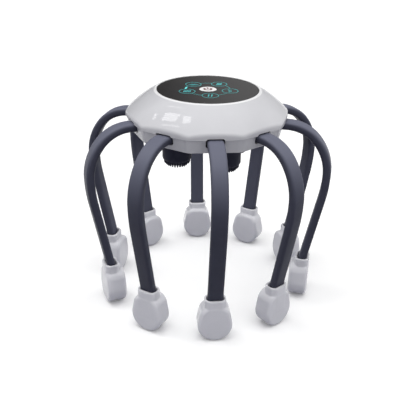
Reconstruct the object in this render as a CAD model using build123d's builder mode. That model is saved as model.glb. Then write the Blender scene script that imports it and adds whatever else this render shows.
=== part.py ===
from build123d import *
from math import atan, cos, degrees, pi, radians, sin, sqrt, tan
import os

# Electric scalp massager. A ten-sided hub carries ten spring arms, each with a vibrating pod at its
# end, and four bristle heads that one geared motor turns. Millimetres and degrees, +Z up, the pods
# stand on Z = 0 and the hub's axis is the Z axis. Arm 01 points along -Y, the others follow
# anticlockwise seen from above.

os.makedirs("parts", exist_ok=True)

# ---------------------------------------------------------------- driving dimensions
arm_count = 10
first_arm_angle = -90.0

# hub: ten-sided tub under a spherical cap that overhangs it a little, sized round its gear train
hub_bottom_z = 127.1
hub_height = 27.5
tub_height = 9.3
tub_taper = 1.7              # corner radius that the tub loses from the parting line to its foot
hub_corner_round = 8.0
cap_overhang = 0.6           # cap's corner outside the tub's
cap_side_bulge = 1.1         # middle of a cap's side outside the straight line
cap_wall = 2.4               # from the parting line up to the roof at the cap's corner
roof_edge_round = 3.0
shell_wall = 2.0
base_thick = 2.0
foot_edge_round = 0.6
parting_groove = 0.25

# control panel in the roof
panel_r = 35.5
panel_thick = 1.6
panel_recess = 0.2           # the panel's face below the roof's land
panel_gap = 0.2
land_width = 1.1
land_edge_round = 0.4
ledge_width = 2.7
ledge_thick = 1.5
ledge_root = 1.0             # ledge's outer part, sunk in the roof's wall

# power button
button_r = 6.1
button_gap = 0.15
button_recess = 0.1
button_edge_round = 0.4
button_flange_width = 1.1
button_flange_thick = 0.8
button_flange_gap = 0.05
button_stem_r = 1.7
button_travel = 0.6
switch_gap = 1.4             # between the button's flange and the switch

# arms
arm_width = 10.8
arm_thick = 5.8
arm_round = 2.0
arm_rise = 6.8               # arm's axis above the hub's bottom
arm_hinge_set_in = 4.2       # hinge axis inside the tub's corner radius
arm_lead = 4.8
shoulder_radius = 27.0
shoulder_turn = 50.0
elbow_radius = 37.6
lean_radius = 105.0
arm_lean = 10.8
recurve_radius = 60.0
core_width = 6.0
core_thick = 0.8
core_gap = 0.2
core_lead = 1.0
slot_side_gap = 0.8
slot_top_gap = 1.0
slot_bottom_gap = 0.6
anchor_clearance = 0.05
anchor_gear_gap = 4.0        # between the head gears and the anchor blocks
knuckle_gap = 0.08

# anchor blocks that hold the arm roots
anchor_width = 12.0
anchor_length = 7.6
anchor_mouth = 1.2           # from the hinge axis back to the block's face
anchor_top_wall = 3.2
wire_hole_r = 1.5

# pods
pod_r = 12.0
pod_height = 27.4
pod_shoulder_r = 9.0
pod_thick = 14.0
pod_edge_round = 2.8
pod_foot_flat = 0.12         # depth of the small flat that the pod stands on
pod_set_in = 1.5             # pod's middle inside the arm's axis
collar_width = 14.8
collar_depth = 10.8
collar_round = 4.2
collar_top_z = 32.1
collar_lip_round = 0.8
collar_inner_round = 0.3
collar_gap = 0.7
collar_socket_depth = 9.5
pod_motor_r = 6.0
pod_motor_thick = 4.0
pod_motor_gap = 0.15
pod_motor_edge = 0.3
core_below_sleeve = 3.5

# bristle heads
head_r = 10.35
head_gap = 0.6               # between the base and the head
head_length = 23.4
head_chamfer = 4.5
head_edge_round = 0.8
bristle_r = 0.55
bristle_pitch = 1.75
bristle_rings = 5
bristle_length = 1.9
bristle_root = 1.0
first_head_angle = -63.0
head_count = 4

# gear train: one pinion drives the four head gears
gear_module = 0.8
pressure_angle = 20.0
pinion_teeth = 26
head_teeth = 36
gear_backlash = 0.16
tooth_sink = 0.2             # tooth's foot inside the root circle
gear_face = 4.0
gear_lift = 1.8              # gears above the base
gear_top_gap = 0.6
pinion_shaft_r = 1.5
pinion_shaft_in_motor = 4.0
head_shaft_r = 3.0
head_journal_r = 2.0
shaft_clearance = 0.05
shaft_end_gap = 0.2
bearing_wall = 2.5
bearing_height = 1.4
hex_across = 5.0
hex_gap = 0.05
hex_depth = 9.0

# gear frame
frame_margin = 1.0           # frame's rim outside the head gears
frame_thick = 1.6
frame_post_r = 3.5
frame_post_set_in = 7.0      # posts' axes inside the frame's rim
motor_boss_r = 4.4
motor_boss_gap = 0.1

# motor and battery on the frame
motor_r = 12.0
motor_height = 8.6
motor_edge_round = 1.0
battery_length = 30.0
battery_width = 20.0
battery_height = 8.0
battery_round = 2.0
battery_motor_gap = 3.0
battery_angle = 117.0

# circuit board
board_thick = 1.2
board_drop = 3.7             # board's top face below the ledge
board_post_r = 2.5
board_peg_r = 0.9
board_peg_gap = 0.1
board_peg_length = 2.0
board_post_count = 4
switch_size = 6.0
switch_wall_gap = 0.15
switch_depth = 1.6
switch_bite = 0.6            # stem inside the switch at rest
led_size = 2.8
led_height = 1.1
led_circle = 15.8
led_count = 5
chip_size = 7.0
chip_height = 1.2
chip_place = (24.0, -8.0)
capacitor_r = 2.6
capacitor_height = 4.0
capacitor_place = (-24.0, 10.0)

# charging socket in a back corner of the tub
port_angle = 72.0
port_rise = 5.8              # socket's axis above the hub's bottom
port_set_in = 3.8            # floor of the socket's recess inside the tub's corner radius
port_pad_depth = 2.9
port_pad_width = 13.0
port_pad_height = 7.0
port_recess_width = 11.6
port_recess_height = 5.2
usb_width = 8.94
usb_height = 3.26
usb_length = 7.3
usb_wall = 0.3
usb_gap = 0.15
usb_tongue_width = 6.7
usb_tongue_thick = 0.7
usb_tongue_length = 5.0
usb_set_back = 0.3
carrier_width = 13.0
carrier_length = 6.6
carrier_thick = 1.0
pedestal_width = 10.0

# case screws, and the same screws in the gear frame
screw_set_in = 11.0          # screws' axes inside the tub's corner radius
first_screw_angle = -36.0
screw_count = 5
screw_r = 1.2
screw_length = 8.0
screw_head_r = 2.3
screw_head_height = 1.2
screw_head_gap = 0.2
screw_tip_gap = 0.2
screw_clearance = 0.05
screw_sink = 1.6             # screw's seat above the hub's bottom
screw_boss_r = 3.25
screw_under_head = 1.6       # from the screw's seat up to the top of the base's boss
screw_drive_r = 1.0
screw_drive_depth = 0.6

cut_past = 1.0               # how far a cut runs past the face it opens

# ---------------------------------------------------------------- derived places
arm_pitch = 360.0 / arm_count
half_side = arm_pitch / 2
arm_angles = [first_arm_angle + arm_pitch * i for i in range(arm_count)]
head_angles = [first_head_angle + 360.0 / head_count * i for i in range(head_count)]
post_angles = [angle + 180.0 / head_count for angle in head_angles]
screw_angles = [first_screw_angle + 360.0 / screw_count * i for i in range(screw_count)]

# from the gear train outwards: anchor blocks, arm hinges, tub, cap
head_circle = gear_module * (pinion_teeth + head_teeth) / 2
gears_outer_r = head_circle + gear_module * (head_teeth / 2 + 1)
anchor_inner_r = gears_outer_r + anchor_gear_gap
anchor_face_r = anchor_inner_r + anchor_length
arm_hinge_r = anchor_face_r + anchor_mouth
hub_rim_r = arm_hinge_r + arm_hinge_set_in
hub_foot_r = hub_rim_r - tub_taper
cap_r = hub_rim_r + cap_overhang
tub_lean = degrees(atan(tub_taper * cos(radians(half_side)) / tub_height))

# the roof's sphere runs from the land round the panel down to the cap's corners
hub_top_z = hub_bottom_z + hub_height
floor_z = hub_bottom_z + base_thick
parting_z = hub_bottom_z + tub_height
land_r = panel_r + panel_gap + land_width
roof_fall = hub_top_z - parting_z - cap_wall
land_above_centre = (roof_fall**2 + cap_r**2 - land_r**2) / (2 * roof_fall)
roof_centre_z = hub_top_z - land_above_centre
roof_radius = sqrt(land_above_centre**2 + land_r**2)

panel_top_z = hub_top_z - panel_recess
panel_bottom_z = panel_top_z - panel_thick
ledge_bottom_z = panel_bottom_z - ledge_thick
ledge_inner_r = panel_r + panel_gap - ledge_width

arm_z = hub_bottom_z + arm_rise
slot_width = arm_width + 2 * slot_side_gap
slot_top_z = arm_z + arm_thick / 2 + slot_top_gap
slot_bottom_z = arm_z - arm_thick / 2 - slot_bottom_gap
elbow_turn = 90.0 - shoulder_turn

gear_bottom_z = floor_z + gear_lift
gear_top_z = gear_bottom_z + gear_face
bearing_top_z = floor_z + bearing_height
frame_bottom_z = gear_top_z + gear_top_gap
frame_top_z = frame_bottom_z + frame_thick
frame_r = gears_outer_r + frame_margin
frame_post_circle = frame_r - frame_post_set_in
battery_inner_r = motor_r + battery_motor_gap
head_top_z = hub_bottom_z - head_gap
head_bottom_z = head_top_z - head_length

board_top_z = ledge_bottom_z - board_drop
board_bottom_z = board_top_z - board_thick
board_post_circle = ledge_inner_r + board_post_r
board_r = board_post_circle + board_post_r

button_top_z = panel_top_z - button_recess
flange_top_z = panel_bottom_z - button_flange_gap
flange_bottom_z = flange_top_z - button_flange_thick
switch_top_z = flange_bottom_z - switch_gap
stem_bottom_z = switch_top_z - switch_bite

port_z = hub_bottom_z + port_rise
port_floor_r = hub_rim_r - port_set_in
usb_mouth_r = port_floor_r - usb_set_back
carrier_top_z = port_z - usb_height / 2
carrier_outer_r = port_floor_r - port_pad_depth - usb_set_back
screw_circle = hub_rim_r - screw_set_in
screw_seat_z = hub_bottom_z + screw_sink
screw_boss_top_z = screw_seat_z + screw_under_head

sleeve_end_z = collar_top_z - collar_socket_depth
pod_centre_z = pod_r - pod_foot_flat
pod_shoulder_z = pod_height - pod_foot_flat - pod_shoulder_r


# ---------------------------------------------------------------- shared helpers
def polar(radius, angle):
    return (radius * cos(radians(angle)), radius * sin(radians(angle)))


def side_plane(angle):
    """Upright plane through the hub's axis: x runs outwards at this angle, y runs up."""
    return Plane(
        origin=(0, 0, 0),
        x_dir=(*polar(1, angle), 0),
        z_dir=(*polar(1, angle - 90), 0),
    )


def outward_plane(angle, radius, height):
    """Plane that faces outwards at this radius and height: x runs sideways, y runs up."""
    return Plane(
        origin=(*polar(radius, angle), height),
        x_dir=(*polar(1, angle + 90), 0),
        z_dir=(*polar(1, angle), 0),
    )


def level_plane(angle, radius, height):
    """Level plane whose x runs outwards at this angle, with its origin at this radius and height."""
    return Plane(origin=(*polar(radius, angle), height), x_dir=(*polar(1, angle), 0), z_dir=(0, 0, 1))


def finish(piece, node):
    """Name a finished piece and write its file."""
    piece.part.label = node
    export_step(piece.part, f"parts/{node}.step")


def tub_form(inset, height):
    """Solid ten-sided tub that widens upwards under the roof's sphere, every surface moved in by inset."""
    with BuildPart() as form:
        with BuildSketch(Plane.XY.offset(hub_bottom_z)) as foot:
            RegularPolygon(hub_foot_r - inset / cos(radians(half_side)), arm_count)
            fillet(foot.vertices(), hub_corner_round - inset)
        extrude(amount=height, taper=-tub_lean)
        with Locations((0, 0, roof_centre_z)):
            Sphere(roof_radius - inset, mode=Mode.INTERSECT)
    return form.part


def cap_outline():
    """Cap seen from above: ten slightly bulging sides with rounded corners."""
    side_r = cap_r * cos(radians(half_side)) + cap_side_bulge
    with BuildSketch() as outline:
        with BuildLine():
            for side in range(arm_count):
                start = side * arm_pitch
                ThreePointArc(
                    polar(cap_r, start), polar(side_r, start + half_side), polar(cap_r, start + arm_pitch)
                )
        make_face()
        fillet(outline.vertices(), hub_corner_round)
    return outline.sketch


def arm_route(angle, lead_in, lead_out):
    """Arm's axis: out of the hub, over the shoulder, down with an inward lean, upright in the collar."""
    with BuildLine(side_plane(angle)) as route:
        lead = Line((arm_hinge_r + lead_in, arm_z), (arm_hinge_r + arm_lead, arm_z))
        shoulder = JernArc(lead @ 1, lead % 1, shoulder_radius, -shoulder_turn)
        elbow = JernArc(shoulder @ 1, shoulder % 1, elbow_radius, -elbow_turn)
        waist = JernArc(elbow @ 1, elbow % 1, lean_radius, -arm_lean)
        recurve_drop = recurve_radius * sin(radians(arm_lean))
        calf_length = ((waist @ 1).Z - recurve_drop - sleeve_end_z) / cos(radians(arm_lean))
        calf = Line(waist @ 1, (waist @ 1) + (waist % 1) * calf_length)
        recurve = JernArc(calf @ 1, calf % 1, recurve_radius, arm_lean)
        if lead_out:
            Line(recurve @ 1, (recurve @ 1) - Vector(0, 0, lead_out))
    return route.wire()


def arm_radius_at(height):
    """Radius of the arm's axis at a height inside the collar, where it turns upright."""
    end = arm_route(0, 0, 0) @ 1
    rise = height - sleeve_end_z
    return end.X + recurve_radius - sqrt(recurve_radius**2 - rise**2)


def gear_sketch(teeth, phase):
    """Involute gear with one tooth's middle at the phase angle."""
    pitch_r = gear_module * teeth / 2
    base_r = pitch_r * cos(radians(pressure_angle))
    tip_r = pitch_r + gear_module
    root_r = pitch_r - 1.25 * gear_module
    foot_r = root_r - tooth_sink

    def half_angle(radius):
        roll = sqrt(max(radius**2 - base_r**2, 0)) / base_r
        involute = roll - atan(roll)
        pitch_involute = tan(radians(pressure_angle)) - radians(pressure_angle)
        pitch_half = pi / (2 * teeth) - gear_backlash / (4 * pitch_r)
        return degrees(pitch_half + pitch_involute - involute)

    low_r = max(base_r, root_r)
    mid_r = (low_r + tip_r) / 2
    with BuildSketch() as tooth:
        with BuildLine():
            left = [polar(r, half_angle(r)) for r in (low_r, mid_r, tip_r)]
            right = [polar(r, -half_angle(r)) for r in (low_r, mid_r, tip_r)]
            foot_left = polar(foot_r, half_angle(low_r))
            foot_right = polar(foot_r, -half_angle(low_r))
            Line(foot_left, left[0])
            ThreePointArc(*left)
            ThreePointArc(left[2], (tip_r, 0), right[2])
            ThreePointArc(right[2], right[1], right[0])
            Line(right[0], foot_right)
            Line(foot_right, foot_left)
        make_face()
    with BuildSketch() as gear:
        Circle(root_r)
        with PolarLocations(0, teeth, start_angle=phase):
            add(tooth.sketch)
    return gear.sketch


# ---------------------------------------------------------------- hub covers
hub_inside = tub_form(shell_wall, hub_height - shell_wall)

with BuildPart() as arm_slots:
    for angle in arm_angles:
        # window in the wall, and behind it room for the anchor block down to the floor
        with BuildSketch(outward_plane(angle, anchor_inner_r, (slot_bottom_z + slot_top_z) / 2)):
            RectangleRounded(slot_width, slot_top_z - slot_bottom_z, arm_round)
        extrude(amount=hub_rim_r)
        with BuildSketch(level_plane(angle, anchor_face_r + anchor_clearance, floor_z)):
            Rectangle(anchor_length, slot_width, align=(Align.MAX, Align.CENTER))
        extrude(amount=arm_z - floor_z)

with BuildPart() as screw_bosses:
    for angle in screw_angles:
        with BuildSketch(Plane.XY.offset(screw_boss_top_z)):
            with Locations(polar(screw_circle, angle)):
                Circle(screw_boss_r)
        extrude(amount=hub_height)
    add(tub_form(shell_wall / 2, hub_height), mode=Mode.INTERSECT)

with BuildPart() as top_shell:
    with BuildSketch(Plane.XY.offset(parting_z)):
        add(cap_outline())
    extrude(amount=hub_height - tub_height)
    with Locations((0, 0, roof_centre_z)):
        Sphere(roof_radius, mode=Mode.INTERSECT)
    rim_edges = top_shell.edges().filter_by(
        lambda edge: parting_z < edge.bounding_box().min.Z and edge.center().Z < panel_bottom_z
    )
    fillet(rim_edges, roof_edge_round)
    fillet(top_shell.faces().sort_by(Axis.Z)[-1].edges(), land_edge_round)
    chamfer(top_shell.faces().sort_by(Axis.Z)[0].edges(), parting_groove)
    add(hub_inside, mode=Mode.SUBTRACT)
    # ledge under the panel, and the panel's recess
    with BuildSketch(Plane.XY.offset(ledge_bottom_z)):
        Circle(land_r + ledge_root)
    extrude(amount=ledge_thick)
    with BuildSketch(Plane.XY.offset(ledge_bottom_z)):
        Circle(ledge_inner_r)
    extrude(amount=hub_height, mode=Mode.SUBTRACT)
    with BuildSketch(Plane.XY.offset(panel_bottom_z)):
        Circle(panel_r + panel_gap)
    extrude(amount=hub_height, mode=Mode.SUBTRACT)
    # posts that carry the circuit board, each with a staking peg
    for post_r, bottom_z in ((board_post_r, board_top_z), (board_peg_r, board_top_z - board_peg_length)):
        with BuildSketch(Plane.XY.offset(bottom_z)):
            with PolarLocations(board_post_circle, board_post_count):
                Circle(post_r)
        extrude(amount=ledge_bottom_z - bottom_z)
    # screw bosses with their pilot holes
    add(screw_bosses.part)
    with BuildSketch(Plane.XY.offset(screw_boss_top_z)):
        with PolarLocations(screw_circle, screw_count, start_angle=first_screw_angle):
            Circle(screw_r + screw_clearance)
    extrude(amount=screw_length, mode=Mode.SUBTRACT)
    add(arm_slots.part, mode=Mode.SUBTRACT)
finish(top_shell, "top_shell")

with BuildPart() as base_shell:
    add(tub_form(0, tub_height))
    fillet(base_shell.faces().sort_by(Axis.Z)[0].edges(), foot_edge_round)
    chamfer(base_shell.faces().sort_by(Axis.Z)[-1].edges(), parting_groove)
    with BuildPart(mode=Mode.PRIVATE) as tub_inside:
        add(hub_inside)
        split(bisect_by=Plane.XY.offset(floor_z), keep=Keep.TOP)
    add(tub_inside.part, mode=Mode.SUBTRACT)
    # bearing collars of the heads and of the pinion
    with BuildSketch(Plane.XY.offset(floor_z)):
        with PolarLocations(head_circle, head_count, start_angle=first_head_angle):
            Circle(head_shaft_r + bearing_wall)
        Circle(pinion_shaft_r + bearing_wall)
    extrude(amount=bearing_height)
    # posts of the gear frame, bosses of the case screws, pedestal of the charging socket
    with BuildSketch(Plane.XY.offset(floor_z)):
        with PolarLocations(frame_post_circle, head_count, start_angle=post_angles[0]):
            Circle(frame_post_r)
    extrude(amount=frame_bottom_z - floor_z)
    with BuildSketch(Plane.XY.offset(floor_z)):
        with PolarLocations(screw_circle, screw_count, start_angle=first_screw_angle):
            Circle(screw_boss_r)
    extrude(amount=screw_boss_top_z - floor_z)
    with BuildSketch(level_plane(port_angle, carrier_outer_r, floor_z)):
        Rectangle(carrier_length, pedestal_width, align=(Align.MAX, Align.CENTER))
    extrude(amount=carrier_top_z - carrier_thick - floor_z)
    # through bores of the head shafts, blind bore of the pinion
    with BuildSketch(Plane.XY.offset(hub_bottom_z)):
        with PolarLocations(head_circle, head_count, start_angle=first_head_angle):
            Circle(head_shaft_r + shaft_clearance)
    extrude(amount=base_thick + bearing_height, mode=Mode.SUBTRACT)
    with BuildSketch(Plane.XY.offset(bearing_top_z)):
        Circle(pinion_shaft_r + shaft_clearance)
    extrude(amount=-(bearing_height + base_thick / 2), mode=Mode.SUBTRACT)
    # screw holes: through the case bosses with sunk heads, pilot holes in the frame posts
    with BuildSketch(Plane.XY.offset(hub_bottom_z)):
        with PolarLocations(screw_circle, screw_count, start_angle=first_screw_angle):
            Circle(screw_r + screw_clearance)
    extrude(amount=screw_boss_top_z - hub_bottom_z, mode=Mode.SUBTRACT)
    with BuildSketch(Plane.XY.offset(hub_bottom_z)):
        with PolarLocations(screw_circle, screw_count, start_angle=first_screw_angle):
            Circle(screw_head_r + screw_head_gap)
    extrude(amount=screw_seat_z - hub_bottom_z, mode=Mode.SUBTRACT)
    with BuildSketch(Plane.XY.offset(frame_bottom_z)):
        with PolarLocations(frame_post_circle, head_count, start_angle=post_angles[0]):
            Circle(screw_r + screw_clearance)
    extrude(amount=-(screw_length - frame_thick), mode=Mode.SUBTRACT)
    add(arm_slots.part, mode=Mode.SUBTRACT)
    # pad, recess and opening of the charging socket
    with BuildSketch(outward_plane(port_angle, port_floor_r, port_z)):
        Rectangle(port_pad_width, port_pad_height)
    extrude(amount=-port_pad_depth)
    with BuildSketch(outward_plane(port_angle, port_floor_r, port_z)):
        SlotOverall(port_recess_width, port_recess_height)
    extrude(amount=hub_rim_r - port_floor_r + cut_past, mode=Mode.SUBTRACT)
    with BuildSketch(outward_plane(port_angle, port_floor_r, port_z)):
        SlotOverall(usb_width + 2 * usb_gap, usb_height + 2 * usb_gap)
    extrude(amount=-(port_pad_depth + cut_past), mode=Mode.SUBTRACT)
finish(base_shell, "base_shell")

# ---------------------------------------------------------------- control panel and power button
with BuildPart() as control_panel:
    with BuildSketch(Plane.XY.offset(panel_bottom_z)):
        Circle(panel_r)
        Circle(button_r + button_gap, mode=Mode.SUBTRACT)
    extrude(amount=panel_thick)
    chamfer(control_panel.faces().sort_by(Axis.Z)[-1].edges(), panel_recess / 2)
finish(control_panel, "control_panel")

with BuildPart() as power_button:
    with BuildSketch(Plane.XY.offset(flange_top_z)):
        Circle(button_r)
    extrude(amount=button_top_z - flange_top_z)
    fillet(power_button.faces().sort_by(Axis.Z)[-1].edges(), button_edge_round)
    with BuildSketch(Plane.XY.offset(flange_top_z)):
        Circle(button_r + button_flange_width)
    extrude(amount=-button_flange_thick)
    with BuildSketch(Plane.XY.offset(flange_bottom_z)):
        Circle(button_stem_r)
    extrude(amount=stem_bottom_z - flange_bottom_z)
finish(power_button, "power_button")

# ---------------------------------------------------------------- electronics
with BuildPart() as main_board:
    with BuildSketch(Plane.XY.offset(board_bottom_z)):
        Circle(board_r)
        with PolarLocations(board_post_circle, board_post_count):
            Circle(board_peg_r + board_peg_gap, mode=Mode.SUBTRACT)
    extrude(amount=board_thick)
    # tact switch under the button, light for each symbol, controller, capacitor
    with BuildSketch(Plane.XY.offset(board_top_z)):
        Rectangle(switch_size, switch_size)
    extrude(amount=switch_top_z - board_top_z)
    with BuildSketch(Plane.XY.offset(switch_top_z)):
        Circle(button_stem_r + switch_wall_gap)
    extrude(amount=-switch_depth, mode=Mode.SUBTRACT)
    with BuildSketch(Plane.XY.offset(board_top_z)):
        with PolarLocations(led_circle, led_count, start_angle=first_arm_angle):
            Rectangle(led_size, led_size)
    extrude(amount=led_height)
    with BuildSketch(Plane.XY.offset(board_top_z)):
        with Locations(chip_place):
            Rectangle(chip_size, chip_size)
    extrude(amount=chip_height)
    with BuildSketch(Plane.XY.offset(board_top_z)):
        with Locations(capacitor_place):
            Circle(capacitor_r)
    extrude(amount=capacitor_height)
finish(main_board, "main_board")

with BuildPart() as usb_c_socket:
    with BuildSketch(outward_plane(port_angle, usb_mouth_r, port_z)):
        SlotOverall(usb_width, usb_height)
    extrude(amount=-usb_length)
    with BuildSketch(outward_plane(port_angle, usb_mouth_r, port_z)):
        SlotOverall(usb_width - 2 * usb_wall, usb_height - 2 * usb_wall)
    extrude(amount=usb_wall - usb_length, mode=Mode.SUBTRACT)
    with BuildSketch(outward_plane(port_angle, usb_mouth_r - usb_length, port_z)):
        Rectangle(usb_tongue_width, usb_tongue_thick)
    extrude(amount=usb_tongue_length + usb_wall)
    with BuildSketch(level_plane(port_angle, carrier_outer_r, carrier_top_z)):
        Rectangle(carrier_length, carrier_width, align=(Align.MAX, Align.CENTER))
    extrude(amount=-carrier_thick)
finish(usb_c_socket, "usb_c_socket")

with BuildPart() as battery_cell:
    with BuildSketch(level_plane(battery_angle, battery_inner_r, frame_top_z)):
        with Locations((battery_width / 2, 0)):
            RectangleRounded(battery_width, battery_length, battery_round)
    extrude(amount=battery_height)
    fillet(battery_cell.faces().sort_by(Axis.Z)[-1].edges(), battery_round / 2)
finish(battery_cell, "battery_cell")

# ---------------------------------------------------------------- drive of the heads
with BuildPart() as gear_motor:
    with BuildSketch(Plane.XY.offset(frame_top_z)):
        Circle(motor_r)
    extrude(amount=motor_height)
    fillet(gear_motor.faces().sort_by(Axis.Z)[-1].edges(), motor_edge_round)
    with BuildSketch(Plane.XY.offset(frame_bottom_z)):
        Circle(motor_boss_r)
    extrude(amount=frame_thick)
    with BuildSketch(Plane.XY.offset(frame_bottom_z)):
        Circle(pinion_shaft_r + shaft_clearance)
    extrude(amount=pinion_shaft_in_motor + frame_thick, mode=Mode.SUBTRACT)
finish(gear_motor, "gear_motor")

with BuildPart() as gear_frame:
    with BuildSketch(Plane.XY.offset(frame_bottom_z)):
        Circle(frame_r)
        Circle(motor_boss_r + motor_boss_gap, mode=Mode.SUBTRACT)
        with PolarLocations(head_circle, head_count, start_angle=first_head_angle):
            Circle(head_journal_r + shaft_clearance, mode=Mode.SUBTRACT)
        with PolarLocations(frame_post_circle, head_count, start_angle=post_angles[0]):
            Circle(screw_r + screw_clearance, mode=Mode.SUBTRACT)
    extrude(amount=frame_thick)
finish(gear_frame, "gear_frame")

with BuildPart() as drive_pinion:
    with BuildSketch(Plane.XY.offset(gear_bottom_z)):
        add(gear_sketch(pinion_teeth, 0))
    extrude(amount=gear_face)
    shaft_bottom_z = floor_z - base_thick / 2 + shaft_end_gap
    with BuildSketch(Plane.XY.offset(shaft_bottom_z)):
        Circle(pinion_shaft_r)
    extrude(amount=frame_top_z + pinion_shaft_in_motor - shaft_end_gap - shaft_bottom_z)
finish(drive_pinion, "drive_pinion")

for number, angle in enumerate(head_angles, start=1):
    # the head gear's gap faces the pinion tooth that is nearest to the line of centres
    tooth_offset = (angle * pinion_teeth / 360.0) % 1.0
    phase = angle + 180.0 + (tooth_offset + 0.5) * 360.0 / head_teeth
    centre = Vector(*polar(head_circle, angle), 0)

    with BuildPart() as head_drive:
        with BuildSketch(Plane(centre).offset(gear_bottom_z)):
            add(gear_sketch(head_teeth, phase))
        extrude(amount=gear_face)
        with BuildSketch(Plane(centre).offset(gear_top_z)):
            Circle(head_journal_r)
        extrude(amount=gear_top_gap + frame_thick - shaft_end_gap)
        with BuildSketch(Plane(centre).offset(gear_bottom_z)):
            Circle(head_shaft_r)
        extrude(amount=head_top_z - gear_bottom_z)
        with BuildSketch(Plane(centre).offset(head_top_z)):
            RegularPolygon(hex_across / 2, 6, major_radius=False)
        extrude(amount=-(hex_depth - hex_gap))
    finish(head_drive, f"head_drive_{number}")

    with BuildPart() as massage_head:
        with BuildSketch(Plane(centre).offset(head_bottom_z)):
            Circle(head_r)
        extrude(amount=head_length)
        fillet(massage_head.faces().sort_by(Axis.Z)[-1].edges(), head_edge_round)
        chamfer(massage_head.faces().sort_by(Axis.Z)[0].edges(), head_chamfer)
        # short bristles on the flat end and on the bevel round it
        for ring in range(bristle_rings + 1):
            ring_r = ring * bristle_pitch
            surface_z = head_bottom_z + max(ring_r - (head_r - head_chamfer), 0)
            with BuildSketch(Plane(centre).offset(surface_z + bristle_root)):
                with PolarLocations(ring_r, max(6 * ring, 1)):
                    Circle(bristle_r)
            extrude(amount=-(bristle_length + bristle_root))
        with BuildSketch(Plane(centre).offset(head_top_z)):
            RegularPolygon(hex_across / 2 + hex_gap, 6, major_radius=False)
        extrude(amount=-hex_depth, mode=Mode.SUBTRACT)
    finish(massage_head, f"massage_head_{number}")

# ---------------------------------------------------------------- arm anchors and screws
with BuildPart() as arm_anchors:
    for angle in arm_angles:
        with BuildSketch(side_plane(angle)):
            with Locations((anchor_inner_r, floor_z)):
                Rectangle(anchor_length, arm_z + anchor_top_wall - floor_z, align=(Align.MIN, Align.MIN))
            with Locations((arm_hinge_r, arm_z)):
                Circle(arm_thick / 2 + knuckle_gap, mode=Mode.SUBTRACT)
        extrude(amount=anchor_width / 2, both=True)
        with BuildSketch(outward_plane(angle, anchor_inner_r, arm_z)):
            Circle(wire_hole_r)
        extrude(amount=anchor_length, mode=Mode.SUBTRACT)
finish(arm_anchors, "arm_anchors")

case_places = [(screw_circle, angle, screw_seat_z, 1) for angle in screw_angles]
frame_places = [(frame_post_circle, angle, frame_top_z, -1) for angle in post_angles]
with BuildPart() as case_screws:
    for radius, angle, seat_z, heading in case_places + frame_places:
        # the shank runs from the seat in the heading's direction, the head lies behind the seat
        seat = Plane(origin=(*polar(radius, angle), seat_z), z_dir=(0, 0, heading))
        with BuildSketch(seat):
            Circle(screw_r)
        extrude(amount=screw_length - screw_tip_gap)
        with BuildSketch(seat):
            Circle(screw_head_r)
        extrude(amount=-screw_head_height)
        with BuildSketch(seat.offset(-screw_head_height)):
            RegularPolygon(screw_drive_r, 6)
        extrude(amount=screw_drive_depth, mode=Mode.SUBTRACT)
finish(case_screws, "case_screws")

# ---------------------------------------------------------------- arms and pods
collar_r = arm_radius_at((sleeve_end_z + collar_top_z) / 2)
core_r = arm_radius_at(sleeve_end_z)
pod_middle_r = collar_r - pod_set_in

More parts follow.
